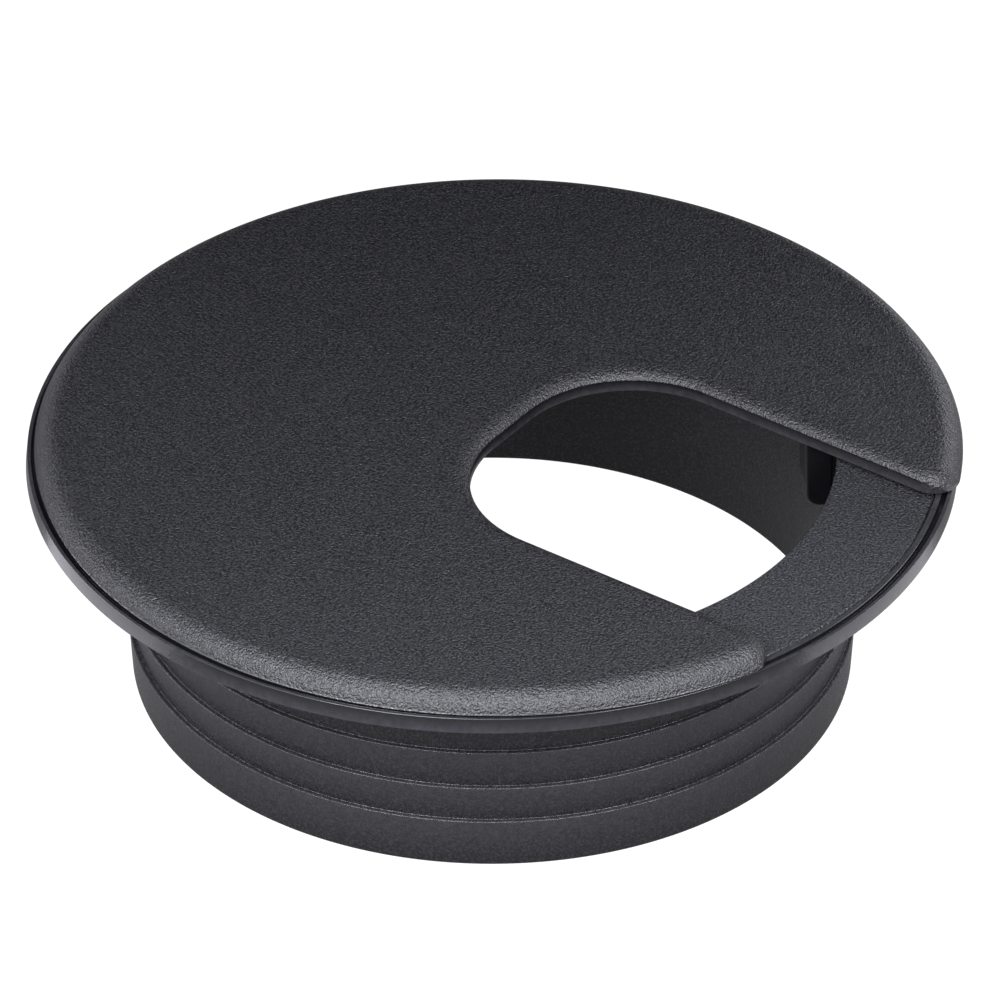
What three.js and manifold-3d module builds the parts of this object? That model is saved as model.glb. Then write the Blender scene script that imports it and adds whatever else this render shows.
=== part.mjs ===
// Desk grommet, two mouldings: a flanged sleeve (the liner) that presses into
// a 60 mm hole in a desk top, and a turning cap with a cable notch. Four legs
// under the cap reach into the bore of the sleeve and guide the turning.
// Millimetres. +Z is up, the axis of the hole is Z, the sleeve's lower rim is
// z = 0, and the notch of the cap opens towards +X.

import * as THREE from 'three';
import * as BufferGeometryUtils from 'three/addons/utils/BufferGeometryUtils.js';
import Module from 'manifold-3d';

// Liner: sleeve
const BORE_R_BOTTOM = 27.53;
const BORE_R_TOP = 27.89;
const SLEEVE_R = 29.0;
const BARB_R = 29.4;
const SLEEVE_R_BOTTOM = 29.1;
const BARB_LEDGES_Z = [4.46, 7.75, 11.19];

// Liner: flange
const FLANGE_Z = 18.95;
const FLANGE_R = 37.5;
const FLANGE_WALL_TOP_R = 37.33;
const LEDGE_Z = 20.12;
const LEDGE_CORNER = 0.12;
const BEAD_R_OUTER = 37.0;
const BEAD_R_INNER = 36.4;
const BEAD_TOP_Z = 20.3;
const BEAD_CORNER = 0.14;
const SEAT_Z = 20.2;

// Cap: plate
const CAP_R = 37.15;
const CAP_UNDERSIDE_Z = 20.6;
const CAP_BAND = 0.2;
const CAP_TOP_Z = 22.14;
const EDGE_ROUND_IN = 2.0;

// Cap: cable notch
const NOTCH_FAR_Y = 14.8;
const NOTCH_NEAR_Y = -10.3;
const NOTCH_END_X = 0.43;
const NOTCH_CORNER_R = 10.2;
const MOUTH_CORNER_R = 2.1;

// Cap: guide legs
const LEG_ANGLE = 41.5;
const LEG_WIDTH = 4.8;
const LEG_R_OUTER = 27.45;
const LEG_R_INNER_TOP = 25.1;
const LEG_R_INNER_BOTTOM = 25.3;
const LEG_BOTTOM_Z = 14.4;
const LEG_CORNER_R = 1.1;
const LEG_ROOT_Z = 21.0;

// Facets
const TURN_STEPS = 120;
const RIM_STEPS = 104;
const NOTCH_STEPS = 14;
const MOUTH_STEPS = 6;
const EDGE_STEPS = 6;

const wasm = await Module();
wasm.setup();

const rad = THREE.MathUtils.degToRad;

function arc(cx, cy, r, from, to, steps) {
  const points = [];
  for (let i = 0; i <= steps; i += 1) {
    const a = from + (to - from) * (i / steps);
    points.push(new THREE.Vector2(cx + r * Math.cos(a), cy + r * Math.sin(a)));
  }
  return points;
}

// A closed (r, z) section turned about Z.
function turned(section) {
  const closed = [...section, section[0]];
  const geometry = new THREE.LatheGeometry(closed, TURN_STEPS);
  geometry.rotateX(Math.PI / 2);
  return geometry;
}

function toSolid(geometry) {
  const bare = geometry.index ? geometry.toNonIndexed() : geometry.clone();
  bare.deleteAttribute('normal');
  bare.deleteAttribute('uv');
  const merged = BufferGeometryUtils.mergeVertices(bare, 1e-4);
  const mesh = new wasm.Mesh({
    numProp: 3,
    vertProperties: new Float32Array(merged.attributes.position.array),
    triVerts: new Uint32Array(merged.index.array),
  });
  mesh.merge();
  return new wasm.Manifold(mesh);
}

function toGeometry(solid) {
  const mesh = solid.getMesh();
  const geometry = new THREE.BufferGeometry();
  geometry.setAttribute('position', new THREE.BufferAttribute(mesh.vertProperties, 3));
  geometry.setIndex(new THREE.BufferAttribute(mesh.triVerts, 1));
  geometry.computeVertexNormals();
  return geometry;
}

function linerSection() {
  const at = (r, z) => new THREE.Vector2(r, z);
  const section = [at(BORE_R_BOTTOM, 0), at(SLEEVE_R_BOTTOM, 0)];
  for (const z of BARB_LEDGES_Z) {
    section.push(at(BARB_R, z));
    section.push(at(SLEEVE_R, z));
  }
  section.push(at(SLEEVE_R, FLANGE_Z));
  section.push(at(FLANGE_R, FLANGE_Z));
  section.push(at(FLANGE_WALL_TOP_R, LEDGE_Z - LEDGE_CORNER));
  section.push(at(FLANGE_WALL_TOP_R - LEDGE_CORNER, LEDGE_Z));
  section.push(at(BEAD_R_OUTER, LEDGE_Z));
  section.push(at(BEAD_R_OUTER - BEAD_CORNER, BEAD_TOP_Z));
  section.push(at(BEAD_R_INNER + BEAD_CORNER, BEAD_TOP_Z));
  section.push(at(BEAD_R_INNER, SEAT_Z));
  section.push(at(BORE_R_TOP, SEAT_Z));
  return section;
}

// Plan of the cap, counter-clockwise: rim, near mouth corner, notch, far mouth corner.
function capOutline() {
  const reach = CAP_R - MOUTH_CORNER_R;
  const nearY = NOTCH_NEAR_Y - MOUTH_CORNER_R;
  const farY = NOTCH_FAR_Y + MOUTH_CORNER_R;
  const nearX = Math.sqrt(reach * reach - nearY * nearY);
  const farX = Math.sqrt(reach * reach - farY * farY);
  const nearAngle = Math.atan2(nearY, nearX);
  const farAngle = Math.atan2(farY, farX);
  const cornerX = NOTCH_END_X + NOTCH_CORNER_R;
  const nearCornerY = NOTCH_NEAR_Y + NOTCH_CORNER_R;
  const farCornerY = NOTCH_FAR_Y - NOTCH_CORNER_R;
  const quarter = Math.PI / 2;

  const rim = arc(0, 0, CAP_R, farAngle, nearAngle + 2 * Math.PI, RIM_STEPS);
  const nearMouth = arc(nearX, nearY, MOUTH_CORNER_R, nearAngle, quarter, MOUTH_STEPS);
  const nearCorner = arc(cornerX, nearCornerY, NOTCH_CORNER_R, -quarter, -2 * quarter, NOTCH_STEPS);
  const farCorner = arc(cornerX, farCornerY, NOTCH_CORNER_R, 2 * quarter, quarter, NOTCH_STEPS);
  const farMouth = arc(farX, farY, MOUTH_CORNER_R, -quarter, farAngle, MOUTH_STEPS);
  return [
    ...rim,
    ...nearMouth.slice(1),
    ...nearCorner,
    ...farCorner,
    ...farMouth.slice(0, -1),
  ];
}

// Flat plate with a rounded upper edge all round the rim and the notch.
function capPlate() {
  const bandTop = CAP_UNDERSIDE_Z + CAP_BAND;
  const skirt = 1.0;
  const shape = new THREE.Shape(capOutline());
  const geometry = new THREE.ExtrudeGeometry(shape, {
    depth: skirt,
    bevelThickness: CAP_TOP_Z - bandTop,
    bevelSize: EDGE_ROUND_IN,
    bevelOffset: -EDGE_ROUND_IN,
    bevelSegments: EDGE_STEPS,
  });
  geometry.translate(0, 0, bandTop - skirt);
  const above = new THREE.BoxGeometry(100, 100, 10);
  above.translate(0, 0, CAP_UNDERSIDE_Z + 5);
  return toSolid(geometry).intersect(toSolid(above));
}

// A ring of the leg's section, kept only where two crossed bars run through it.
function capLegs() {
  const corner = arc(
    LEG_R_INNER_BOTTOM + LEG_CORNER_R,
    LEG_BOTTOM_Z + LEG_CORNER_R,
    LEG_CORNER_R,
    -Math.PI,
    -Math.PI / 2,
    MOUTH_STEPS,
  );
  const section = [
    ...corner,
    new THREE.Vector2(LEG_R_OUTER, LEG_BOTTOM_Z),
    new THREE.Vector2(LEG_R_OUTER, LEG_ROOT_Z),
    new THREE.Vector2(LEG_R_INNER_TOP, LEG_ROOT_Z),
  ];
  const bars = [0, 90].map((turn) => {
    const bar = new THREE.BoxGeometry(80, LEG_WIDTH, 20);
    bar.rotateZ(rad(LEG_ANGLE + turn));
    bar.translate(0, 0, LEG_BOTTOM_Z + 5);
    return toSolid(bar);
  });
  return toSolid(turned(section)).intersect(bars[0].add(bars[1]));
}

function piece(name, geometry, color, roughness) {
  const material = new THREE.MeshStandardMaterial({ color, roughness, metalness: 0 });
  material.name = `${name}_plastic`;
  const mesh = new THREE.Mesh(geometry, material);
  mesh.name = name;
  return mesh;
}

const linerGeometry = toGeometry(toSolid(turned(linerSection())));
const capGeometry = toGeometry(capPlate().add(capLegs()));

const group = new THREE.Group();
group.name = 'desk_grommet';
group.add(piece('liner', linerGeometry, 0x303135, 0.5));
group.add(piece('cap', capGeometry, 0x36373b, 0.62));

export default group;
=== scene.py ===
"""Looks of the desk grommet: a barbed, flanged liner and the turning cap with its cable notch.

Sections, outlines and the sizes of the two mouldings are in millimetres, and become metres
when a mesh is made. The camera, the lights and the floor are in metres.
"""

import math

import bmesh
import bpy
from mathutils import Matrix, Vector


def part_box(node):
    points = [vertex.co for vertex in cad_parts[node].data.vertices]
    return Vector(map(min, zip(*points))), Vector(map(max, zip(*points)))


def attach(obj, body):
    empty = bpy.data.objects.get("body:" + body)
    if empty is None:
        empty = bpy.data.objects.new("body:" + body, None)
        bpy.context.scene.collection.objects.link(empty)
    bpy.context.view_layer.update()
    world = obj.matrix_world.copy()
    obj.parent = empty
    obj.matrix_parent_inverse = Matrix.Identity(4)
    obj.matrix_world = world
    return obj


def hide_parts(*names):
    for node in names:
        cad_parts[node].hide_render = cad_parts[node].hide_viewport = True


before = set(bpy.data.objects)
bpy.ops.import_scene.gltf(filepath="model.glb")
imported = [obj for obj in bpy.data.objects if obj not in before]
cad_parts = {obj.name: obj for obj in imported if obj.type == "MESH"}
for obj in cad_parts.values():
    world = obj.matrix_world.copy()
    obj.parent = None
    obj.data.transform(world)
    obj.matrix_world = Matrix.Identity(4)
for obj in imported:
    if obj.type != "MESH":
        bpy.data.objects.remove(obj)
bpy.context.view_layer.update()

MM = 0.001


def box_mm(node):
    """Lowest and highest corner of a CAD node, in millimetres."""
    low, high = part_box(node)
    return low / MM, high / MM


LINER_HIGH = box_mm("liner")[1]
CAP_LOW, CAP_HIGH = box_mm("cap")

# Liner, in millimetres
FLANGE_R = LINER_HIGH.x
FLANGE_Z = 18.95
BEAD_TOP_Z = LINER_HIGH.z
SEAT_Z = BEAD_TOP_Z - 0.08
WALL_TOP_R = FLANGE_R - 0.12
GROOVE_R = (36.66, 37.0)
GROOVE_Z = BEAD_TOP_Z - 0.34
GUTTER_Z = GROOVE_Z + 0.1
BEAD_R = (36.1, 36.6)
BORE_R = (27.44, 27.74)
SLEEVE_R = 29.0
SLEEVE_FOOT_R = 29.1
BARB_R = 29.4
BARB_LEDGES_Z = (4.46, 7.75, 11.19)
SLEEVE_GRAIN = 0.4

# Cap, in millimetres. Its radius is a little more than the CAD cap's. The edges are an upright
# band, then a curve that starts at draft degrees from upright and ends flat, inset from the
# outline. The foot is the rounding under the band.
CAP_MORE_R = 0.2
CAP_R = CAP_MORE_R - CAP_LOW.x
CAP_TOP_Z = CAP_HIGH.z
CAP_UNDER_Z = BEAD_TOP_Z + 0.22
RIM_EDGE = {"band": 0.16, "draft": 20, "inset": 2.1}
NOTCH_EDGE = {"band": 0.95, "draft": 8, "inset": 1.5}
EDGE_FOOT = 0.1
CAP_PLAY = 0.54
NOTCH_FAR_Y = 14.8
NOTCH_NEAR_Y = -10.5
NOTCH_END_X = 0.43
NOTCH_CORNER_R = 10.2
MOUTH_R = 2.1

# Guide legs under the cap, in millimetres and degrees
LEG_ANGLES = (41.5, 131.5, 221.5, 311.5)
LEG_WIDTH = 4.8
LEG_R = (25.2, 27.45)
LEG_BOTTOM_Z = CAP_LOW.z
LEG_ROOT_Z = CAP_UNDER_Z + 0.5
LEG_LEAN = 0.12
LEG_CORNER_R = 1.1
LEG_SIDE_R = 0.25
LEG_MIDDLE_STEP = 0.75

# Camera, in degrees and metres, with its lens in millimetres. It looks at VIEW_AIM
VIEW_AZIMUTH = 35.8
VIEW_ELEVATION = 35.06
VIEW_DISTANCE = 1.4807
VIEW_LENS = 660.2
VIEW_AIM = Vector((-0.00089, 0.00235, 0.01347))

# In the photo the cap's plate sits off centre in its play, towards the camera's right
CAP_TURN = math.radians(VIEW_AZIMUTH)
CAP_SHIFT = Vector((math.cos(CAP_TURN), math.sin(CAP_TURN), 0)) * CAP_PLAY

# Softboxes round the object, in metres
SOFTBOX_DISTANCE = 0.15
SOFTBOX_SIZE = (0.07, 0.06)
SOFTBOX_COLOUR = (0.93, 0.93, 1.0)

# The light table: its half side in metres, its grey, and its glow as radiance, first as the
# camera sees it and then as it lights the object
FLOOR_HALF = 3.0
FLOOR_GREY = 0.08
FLOOR_GLOW_SEEN = 1.0
FLOOR_GLOW_CAST = 0.2

# Plastic: linear colours, the dark and light shares of a colour within the grain (painted shade in
# its pits, painted glints on its raised points), the pattern's sizes per millimetre and the grain's
# depth in metres
LINER_COLOUR = (0.0145, 0.0148, 0.017)
CAP_COLOUR = (0.009, 0.0092, 0.0108)
# A lighter colour painted on crests and edges as painted highlight, where those lines catch the light
EDGE_HIGHLIGHT_COLOUR = (0.03, 0.03, 0.034)
DARK_SHARE = 0.3
LIGHT_SHARE = 1.7
GRAIN_PER_MM = 4.6
PORES_PER_MM = 6.0
GRAIN_DEPTH = 0.00019

# How far in millimetres the painted highlight reaches in from a barb's crest, the bead's top,
# the flange's outer corner and the plate's lower edge
HIGHLIGHT_BARB = 0.08
HIGHLIGHT_BEAD = 0.05
HIGHLIGHT_CORNER = 0.12
HIGHLIGHT_PLATE = 0.15
HAIR = 0.02

# The colour sockets of a Mix node
MIX_A = 6
MIX_B = 7
MIX_RESULT = 2


def filleted(corners, steps=4):
    """A closed section (r, z) from corners (r, z, radius), each rounded by an arc of that radius."""
    points = []
    for i, (r, z, radius) in enumerate(corners):
        here = Vector((r, z))
        if radius == 0:
            points.append(here)
            continue
        before = (Vector(corners[i - 1][:2]) - here).normalized()
        after = (Vector(corners[(i + 1) % len(corners)][:2]) - here).normalized()
        half = before.angle(after) / 2
        centre = here + (before + after).normalized() * (radius / math.sin(half))
        reach = radius / math.tan(half)
        start = here + before * reach - centre
        end = here + after * reach - centre
        points += [centre + start.slerp(end, k / steps) * radius for k in range(steps + 1)]
    return points


def new_piece(name, verts, faces):
    """An object from points in millimetres, its faces turned consistently and those of more than four
    corners cut into triangles.
    """
    mesh = bpy.data.meshes.new(name)
    mesh.from_pydata([Vector(v) * MM for v in verts], [], faces)
    shell = bmesh.new()
    shell.from_mesh(mesh)
    bmesh.ops.recalc_face_normals(shell, faces=shell.faces)
    bmesh.ops.triangulate(shell, faces=[f for f in shell.faces if len(f.verts) > 4])
    shell.to_mesh(mesh)
    shell.free()
    piece = bpy.data.objects.new(name, mesh)
    bpy.context.scene.collection.objects.link(piece)
    return piece


def smooth_shaded(piece, sharp_degrees=38):
    """Shades a piece smooth, with flat faces kept flat beside narrow roundings."""
    piece.data.shade_smooth()
    piece.data.set_sharp_from_angle(angle=math.radians(sharp_degrees))
    weighted = piece.modifiers.new("face_weighted_normals", "WEIGHTED_NORMAL")
    weighted.keep_sharp = True


def paint(piece, name, value_at):
    """Stores value_at(point in mm) on each vertex, for the material to read."""
    layer = piece.data.attributes.new(name, "FLOAT", "POINT")
    for vertex, item in zip(piece.data.vertices, layer.data):
        item.value = value_at(vertex.co / MM)


def liner_section():
    """The section on one side of the axis, from the bore's foot outwards, up and back inwards."""
    corners = [
        (BORE_R[0], 0.0, 0.3),
        (SLEEVE_FOOT_R, 0.0, 0.3),
    ]
    for ledge in BARB_LEDGES_Z:
        corners.append((BARB_R, ledge, 0.07))
        corners.append((SLEEVE_R, ledge, 0.07))
    corners += [
        (SLEEVE_R, FLANGE_Z, 0.35),
        (FLANGE_R, FLANGE_Z, 0.1),
        (WALL_TOP_R, BEAD_TOP_Z, 0.06),
        (GROOVE_R[1] + 0.08, BEAD_TOP_Z, 0.05),
        (GROOVE_R[1], GROOVE_Z, 0.06),
        (GROOVE_R[0], GROOVE_Z, 0.06),
        (BEAD_R[1], BEAD_TOP_Z, 0.09),
        (BEAD_R[0] + 0.05, BEAD_TOP_Z, 0.09),
        (BEAD_R[0], GUTTER_Z, 0.04),
        (BEAD_R[0] - 0.12, GUTTER_Z, 0.04),
        (BEAD_R[0] - 0.2, SEAT_Z, 0.05),
        (BORE_R[1], SEAT_Z, 0.12),
    ]
    return filleted(corners)


def make_liner(turns=360):
    """The liner's section turned round the axis."""
    section = liner_section()
    count = len(section)
    verts = []
    for i in range(turns):
        a = 2 * math.pi * i / turns
        verts += [(p.x * math.cos(a), p.x * math.sin(a), p.y) for p in section]
    faces = []
    for i in range(turns):
        here = i * count
        there = (i + 1) % turns * count
        for k in range(count):
            after = (k + 1) % count
            faces.append((here + k, here + after, there + after, there + k))
    return new_piece("liner_shell", verts, faces)


def arc_points(centre, radius, start, end, steps, inward, share=(0, 0)):
    """Outline points of an arc, each with its normal into the plate and its notch share.

    inward is 1 where the plate lies towards the centre and -1 where it lies away from it.
    """
    points = []
    for i in range(steps + 1):
        t = i / steps
        a = start + (end - start) * t
        out = Vector((math.cos(a), math.sin(a)))
        points.append((centre + out * radius, out * -inward, share[0] + (share[1] - share[0]) * t))
    return points


def line_points(start, end, steps, normal):
    """Outline points between start and end, both left out."""
    return [(start.lerp(end, i / steps), normal, 1) for i in range(1, steps)]


def cap_outline():
    """The cap's plan, counter-clockwise from the far mouth corner.

    Each item is a point, its normal into the plate and how much of the notch's edge it has.
    """
    quarter = math.pi / 2
    reach = CAP_R - MOUTH_R
    near_wall_y = NOTCH_NEAR_Y - CAP_SHIFT.y
    far_wall_y = NOTCH_FAR_Y - CAP_SHIFT.y
    end_x = NOTCH_END_X - CAP_SHIFT.x
    near_y = near_wall_y - MOUTH_R
    far_y = far_wall_y + MOUTH_R
    near_x = math.sqrt(reach**2 - near_y**2)
    far_x = math.sqrt(reach**2 - far_y**2)
    near_a = math.atan2(near_y, near_x)
    far_a = math.atan2(far_y, far_x)
    corner_x = end_x + NOTCH_CORNER_R
    low_corner = near_wall_y + NOTCH_CORNER_R
    high_corner = far_wall_y - NOTCH_CORNER_R
    near_wall = Vector((near_x, near_wall_y)), Vector((corner_x, near_wall_y))
    inner_end = Vector((end_x, low_corner)), Vector((end_x, high_corner))
    far_wall = Vector((corner_x, far_wall_y)), Vector((far_x, far_wall_y))
    rim = Vector((0, 0))
    near_mouth, far_mouth = Vector((near_x, near_y)), Vector((far_x, far_y))
    low, high = Vector((corner_x, low_corner)), Vector((corner_x, high_corner))
    return [
        *arc_points(rim, CAP_R, far_a, near_a + 2 * math.pi, 320, 1)[:-1],
        *arc_points(near_mouth, MOUTH_R, near_a, quarter, 16, 1, (0, 1)),
        *line_points(*near_wall, 24, Vector((0, -1))),
        *arc_points(low, NOTCH_CORNER_R, -quarter, -2 * quarter, 30, -1, (1, 1)),
        *line_points(*inner_end, 6, Vector((-1, 0))),
        *arc_points(high, NOTCH_CORNER_R, 2 * quarter, quarter, 30, -1, (1, 1)),
        *line_points(*far_wall, 24, Vector((0, 1))),
        *arc_points(far_mouth, MOUTH_R, -quarter, far_a, 16, 1, (1, 0))[:-1],
    ]


def cap_edge(band, draft, inset):
    """The plate's edge from the underside to the flat top, as (distance in, height)."""
    edge = []
    for i in range(4):
        a = math.radians(30 * i)
        inwards, upwards = EDGE_FOOT * (1 - math.sin(a)), EDGE_FOOT * (1 - math.cos(a))
        edge.append(Vector((inwards, CAP_UNDER_Z + upwards)))
    start = math.radians(draft)
    band_top = CAP_UNDER_Z + band
    rise = (CAP_TOP_Z - band_top) / (1 - math.sin(start))
    steps = 16
    for i in range(steps + 1):
        a = start + (math.pi / 2 - start) * i / steps
        edge.append(Vector((inset * (1 - math.cos(a)), CAP_TOP_Z - rise * (1 - math.sin(a)))))
    return edge


def make_plate():
    """The cap's plate, its edge at each outline point mixed from the rim's and the notch's."""
    outline = cap_outline()
    count = len(outline)
    verts = []
    for at_rim, at_notch in zip(cap_edge(**RIM_EDGE), cap_edge(**NOTCH_EDGE)):
        for point, normal, share in outline:
            inset, z = at_rim.lerp(at_notch, share)
            verts.append((*(point + normal * inset), z))
    rings = len(verts) // count
    faces = [tuple(range(count)), tuple(range((rings - 1) * count, rings * count))]
    for ring in range(rings - 1):
        low = ring * count
        for k in range(count):
            after = (k + 1) % count
            faces.append((low + k, low + after, low + count + after, low + count + k))
    return new_piece("cap_plate", verts, faces)


def leg_section(shrink):
    """The leg's section (r, z), its bottom and its two faces pulled in by shrink."""
    low_z = LEG_BOTTOM_Z + shrink
    r_in, r_out = LEG_R[0] + shrink, LEG_R[1] - shrink
    return filleted([
        (r_in + LEG_LEAN, low_z, LEG_CORNER_R - shrink),
        (r_out, low_z, 0.3),
        (r_out, LEG_ROOT_Z, 0),
        (r_in, LEG_ROOT_Z, 0),
    ], steps=6)


def leg_stations():
    """The places across a leg where its section stands, as (place, how far it is pulled in)."""
    half = LEG_WIDTH / 2
    rounding = []
    for i in range(5):
        a = math.radians(22.5 * i)
        rounding.append((half - LEG_SIDE_R * (1 - math.sin(a)), LEG_SIDE_R * (1 - math.cos(a))))
    mirrored = [(-y, shrink) for y, shrink in reversed(rounding)]
    middle = [(LEG_MIDDLE_STEP * i, 0.0) for i in range(-2, 3)]
    return [*mirrored, *middle, *rounding]


def make_leg(angle):
    """One leg. Its inner and outer faces bend round the axis, and its sides are flat."""
    across = leg_stations()
    turn = math.radians(angle)
    verts = []
    for y, shrink in across:
        for p in leg_section(shrink):
            a = turn + math.asin(y / p.x)
            verts.append((p.x * math.cos(a), p.x * math.sin(a), p.y))
    count = len(leg_section(0))
    faces = [tuple(range(count)), tuple(range(len(verts) - count, len(verts)))]
    for i in range(len(across) - 1):
        for k in range(count):
            after = (k + 1) % count
            low = i * count
            faces.append((low + k, low + after, low + count + after, low + count + k))
    return new_piece("leg", verts, faces)


def joined(base, tool):
    """Joins tool's solid into base's, and removes tool."""
    union = base.modifiers.new("join", "BOOLEAN")
    union.operation = "UNION"
    union.solver = "EXACT"
    union.object = tool
    graph = bpy.context.evaluated_depsgraph_get()
    solid = bpy.data.meshes.new_from_object(base.evaluated_get(graph))
    base.modifiers.clear()
    base.data = solid
    bpy.data.objects.remove(tool)


def make_cap():
    """The shifted plate with its four legs joined to it as one solid."""
    cap = make_plate()
    cap.data.transform(Matrix.Translation(CAP_SHIFT * MM))
    for angle in LEG_ANGLES:
        joined(cap, make_leg(angle))
    cap.name = "cap_shell"
    cap.data.name = "cap_shell"
    return cap


# Materials


class Nodes:
    """Short ways to add and link shader nodes in one material."""

    def __init__(self, name):
        self.material = bpy.data.materials.new(name)
        self.material.use_nodes = True
        self.tree = self.material.node_tree
        self.shader = self.tree.nodes["Principled BSDF"]

    def add(self, kind, inputs=(), **settings):
        node = self.tree.nodes.new(kind)
        for key, value in settings.items():
            setattr(node, key, value)
        for key, value in dict(inputs).items():
            if isinstance(value, bpy.types.NodeSocket):
                self.tree.links.new(value, node.inputs[key])
            else:
                node.inputs[key].default_value = value
        return node

    def math(self, operation, a, b, clamp=False):
        node = self.add("ShaderNodeMath", {0: a, 1: b}, operation=operation, use_clamp=clamp)
        return node.outputs[0]

    def scale(self, value, low, high):
        """value, from 0 to 1, as low to high."""
        inputs = {"Value": value, "To Min": low, "To Max": high}
        return self.add("ShaderNodeMapRange", inputs).outputs["Result"]

    def noise(self, per_mm, detail, roughness=0.5):
        place = self.add("ShaderNodeTexCoord").outputs["Object"]
        inputs = {"Vector": place, "Scale": per_mm / MM, "Detail": detail, "Roughness": roughness}
        return self.add("ShaderNodeTexNoise", inputs).outputs["Fac"]

    def cells(self, per_mm):
        place = self.add("ShaderNodeTexCoord").outputs["Object"]
        inputs = {"Vector": place, "Scale": per_mm / MM, "Smoothness": 0.6}
        return self.add("ShaderNodeTexVoronoi", inputs, feature="SMOOTH_F1").outputs["Distance"]

    def painted(self, name):
        return self.add("ShaderNodeAttribute", attribute_name=name).outputs["Fac"]


def grain_bump(n, grained, pits):
    """Bump of pits and pores, nearly flat where the piece isn't grained, over a faint flow."""
    pores = n.cells(PORES_PER_MM)
    height = n.math("ADD", n.math("MULTIPLY", pits, 0.75), n.math("MULTIPLY", pores, 0.35))
    flow = n.noise(0.9, 2.0)
    height = n.math("MULTIPLY", height, n.scale(grained, 0.06, 1.0))
    height = n.math("ADD", height, n.math("MULTIPLY", flow, 0.05))
    return n.add("ShaderNodeBump", {"Height": height, "Strength": 1.0, "Distance": GRAIN_DEPTH})


def grain_colour(n, colour, grained, pits):
    """The plastic's colour with a broad mottle, darker in the grain's pits as painted shade and
    lighter on its raised points as painted glints.
    """
    mottle = n.scale(n.noise(0.05, 3.0), -0.06, 0.06)
    # Painted shade in the grain's pits and painted glints on its raised points, following the bump's
    # height
    pit_shade_and_glint = n.math("MULTIPLY", n.scale(pits, -1.0, 1.0), n.scale(grained, 0.3, 2.8))
    tone = n.math("ADD", n.math("ADD", mottle, pit_shade_and_glint), n.scale(grained, 0.0, 0.5), clamp=True)
    body = n.add("ShaderNodeMix", {"Factor": tone}, data_type="RGBA")
    body.inputs[MIX_A].default_value = (*[c * DARK_SHARE for c in colour], 1)
    body.inputs[MIX_B].default_value = (*[c * LIGHT_SHARE for c in colour], 1)
    return body.outputs[MIX_RESULT]


def highlighted_colour(n, body):
    """body, mixed towards a lighter colour as painted highlight where the piece is painted as an edge,
    broken up by noise.
    """
    shine = n.math("MULTIPLY", n.painted("edge"), n.scale(n.noise(1.6, 3.0), 0.1, 1.0))
    skin = n.add("ShaderNodeMix", {"Factor": shine}, data_type="RGBA")
    n.tree.links.new(body, skin.inputs[MIX_A])
    skin.inputs[MIX_B].default_value = (*EDGE_HIGHLIGHT_COLOUR, 1)
    return skin.outputs[MIX_RESULT]


def grain_roughness(n, grained, pits, rough_smooth, rough_grain):
    """Roughness between the two given, varied broadly and, in the grain, with its pits."""
    rough = n.scale(grained, rough_smooth, rough_grain)
    rough = n.math("ADD", rough, n.scale(n.noise(0.35, 3.0), -0.05, 0.05))
    return n.math("ADD", rough, n.math("MULTIPLY", n.scale(pits, -0.12, 0.12), grained))


def plastic(name, colour, rough_smooth, rough_grain):
    """Black moulded plastic: spark-eroded grain where the piece is painted as grained, else satin."""
    n = Nodes(name)
    grained = n.painted("grained")
    pits = n.noise(GRAIN_PER_MM, 2.0, 0.6)
    skin = highlighted_colour(n, grain_colour(n, colour, grained, pits))
    rough = grain_roughness(n, grained, pits, rough_smooth, rough_grain)
    bump = grain_bump(n, grained, pits)
    n.tree.links.new(skin, n.shader.inputs["Base Color"])
    n.tree.links.new(rough, n.shader.inputs["Roughness"])
    n.tree.links.new(bump.outputs["Normal"], n.shader.inputs["Normal"])
    n.shader.inputs["IOR"].default_value = 1.5
    return n.material


# Where the grain and the painted edge highlights are, as values painted on the vertices


def plan_radius(point):
    return math.hypot(point.x, point.y)


def liner_grain(point):
    """The seat inside the bead is grained, the sleeve lightly so, and the flange's rim is smooth."""
    r = plan_radius(point)
    if BORE_R[1] < r < BEAD_R[0] - 0.05 and point.z > FLANGE_Z + 0.5:
        return 1.0
    on_sleeve = r < SLEEVE_R + 0.5
    return SLEEVE_GRAIN if on_sleeve else 0.0


def liner_edge_highlight(point):
    """The edges that stand proud and get painted highlight: barb crests, the bead and rim tops, the
    flange's lower corner.
    """
    r = plan_radius(point)
    on_barb = r > BARB_R - HIGHLIGHT_BARB and point.z < FLANGE_Z - 1
    on_bead = point.z > BEAD_TOP_Z - HIGHLIGHT_BEAD
    on_corner = r > FLANGE_R - HIGHLIGHT_CORNER and point.z < FLANGE_Z + HIGHLIGHT_CORNER
    return 1.0 if on_barb or on_bead or on_corner else 0.0


def cap_grain(point):
    """The top and the rounded edge are grained. The foot, the notch's band and the legs are smooth."""
    at_rim = (point - CAP_SHIFT).xy.length > CAP_R - RIM_EDGE["inset"]
    smooth_height = EDGE_FOOT if at_rim else NOTCH_EDGE["band"]
    return 1.0 if point.z > CAP_UNDER_Z + smooth_height + HAIR else 0.0


def cap_edge_highlight(point):
    """The lower edge all round the plate gets painted highlight."""
    return 1.0 if CAP_UNDER_Z + HAIR < point.z < CAP_UNDER_Z + HIGHLIGHT_PLATE else 0.0


liner = make_liner()
paint(liner, "grained", liner_grain)
# Painted highlight on the liner's barb crests, bead and rim tops and flange corner
paint(liner, "edge", liner_edge_highlight)
smooth_shaded(liner)
liner.data.materials.append(plastic("liner_moulded", LINER_COLOUR, 0.2, 0.33))
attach(liner, "liner")
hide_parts("liner")

cap = make_cap()
paint(cap, "grained", cap_grain)
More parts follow.
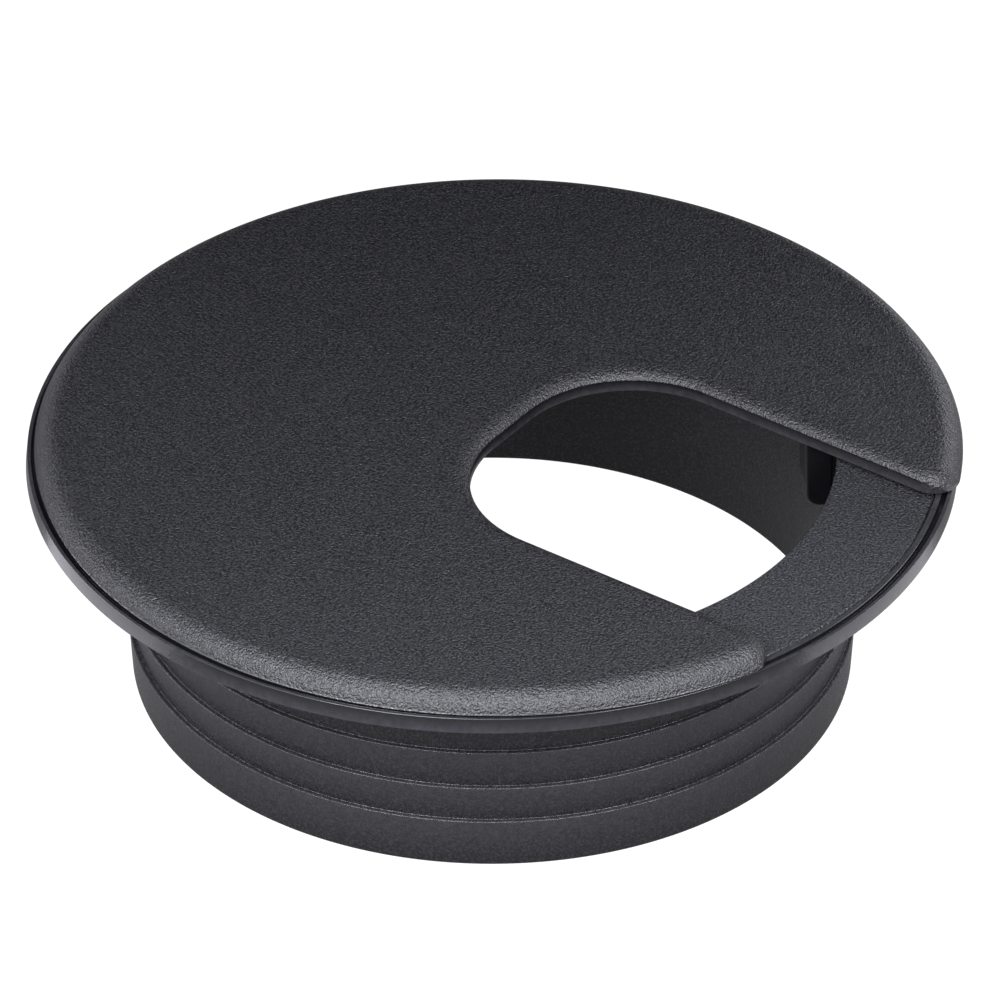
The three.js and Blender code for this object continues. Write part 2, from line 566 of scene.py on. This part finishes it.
# Painted highlight on the plate's lower edge all round
paint(cap, "edge", cap_edge_highlight)
smooth_shaded(cap)
cap.data.materials.append(plastic("cap_moulded", CAP_COLOUR, 0.22, 0.36))
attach(cap, "cap")
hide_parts("cap")


# Stage


def direction(azimuth, elevation):
    """Unit vector towards a place seen from the object, azimuth counted from the camera's side."""
    a, e = math.radians(VIEW_AZIMUTH + azimuth), math.radians(elevation)
    return Vector((math.sin(a) * math.cos(e), -math.cos(a) * math.cos(e), math.sin(e)))


def area_light(name, radiance, place, back):
    """A small softbox at place that shines away from back, its brightness given as radiance."""
    width, height = SOFTBOX_SIZE
    data = bpy.data.lights.new(name, "AREA")
    data.shape = "RECTANGLE"
    data.size = width
    data.size_y = height
    data.energy = radiance * width * height * math.pi
    data.color = SOFTBOX_COLOUR
    lamp = bpy.data.objects.new(name, data)
    bpy.context.scene.collection.objects.link(lamp)
    lamp.visible_camera = False
    lamp.location = place
    lamp.rotation_mode = "QUATERNION"
    lamp.rotation_quaternion = back.to_track_quat("Z", "Y")


def softbox(name, azimuth, elevation, radiance):
    """A softbox near the object, aimed at it."""
    back = direction(azimuth, elevation)
    area_light(name, radiance, VIEW_AIM + back * SOFTBOX_DISTANCE, back)


def floor_card(name, azimuth, distance, radiance):
    """A softbox lying on the table beside the object and shining up, like a white card."""
    beside = direction(azimuth, 0) * distance
    area_light(name, radiance, Vector((beside.x, beside.y, MM)), Vector((0, 0, -1)))


def make_floor():
    """A light table: its glow makes it white to the camera, and it sends little light back."""
    half = FLOOR_HALF
    corners = [(-half, -half, 0), (half, -half, 0), (half, half, 0), (-half, half, 0)]
    mesh = bpy.data.meshes.new("floor")
    mesh.from_pydata(corners, [], [(0, 1, 2, 3)])
    floor = bpy.data.objects.new("floor", mesh)
    bpy.context.scene.collection.objects.link(floor)
    n = Nodes("floor_sheet")
    n.shader.inputs["Base Color"].default_value = (FLOOR_GREY, FLOOR_GREY, FLOOR_GREY, 1)
    n.shader.inputs["Roughness"].default_value = 0.9
    n.shader.inputs["Specular IOR Level"].default_value = 0.0
    n.shader.inputs["Emission Color"].default_value = (1, 1, 1, 1)
    seen = n.add("ShaderNodeLightPath").outputs["Is Camera Ray"]
    glow = n.scale(seen, FLOOR_GLOW_CAST, FLOOR_GLOW_SEEN)
    n.tree.links.new(glow, n.shader.inputs["Emission Strength"])
    mesh.materials.append(n.material)


def make_world():
    """A faint pale sky all round."""
    world = bpy.data.worlds.new("studio")
    world.use_nodes = True
    background = world.node_tree.nodes["Background"]
    background.inputs["Color"].default_value = (0.95, 0.96, 1.0, 1)
    background.inputs["Strength"].default_value = 0.05
    bpy.context.scene.world = world


def make_camera():
    """The photo's viewpoint."""
    data = bpy.data.cameras.new("camera")
    data.lens = VIEW_LENS
    data.sensor_width = 36.0
    data.clip_start = 0.05
    data.clip_end = 20.0
    camera = bpy.data.objects.new("camera", data)
    bpy.context.scene.collection.objects.link(camera)
    back = direction(0, VIEW_ELEVATION)
    camera.location = VIEW_AIM + back * VIEW_DISTANCE
    camera.rotation_mode = "QUATERNION"
    camera.rotation_quaternion = (-back).to_track_quat("-Z", "Y")
    bpy.context.scene.camera = camera


def make_lights():
    """Softboxes with their azimuth, elevation and radiance, and cards with their distance."""
    softbox("front_low", -22, 32, 22.5)
    softbox("front_high", -20, 52, 9.0)
    softbox("right_low", 36, 32, 20.0)
    softbox("right_high", 45, 70, 8.0)
    softbox("top", -30, 94, 2.4)
    softbox("left_foot", -50, 12, 5.5)
    softbox("front_foot", 10, 12, 2.5)
    softbox("left", -90, 15, 8.0)
    softbox("right", 95, 20, 6.0)
    softbox("back_left", -140, 8, 1.2)
    softbox("back_right", 140, 8, 2.8)
    floor_card("left_card", -86, 0.085, 1.9)
    floor_card("right_card", 80, 0.085, 1.5)


make_floor()
make_world()
make_camera()
make_lights()
bpy.context.scene.view_settings.view_transform = "Standard"
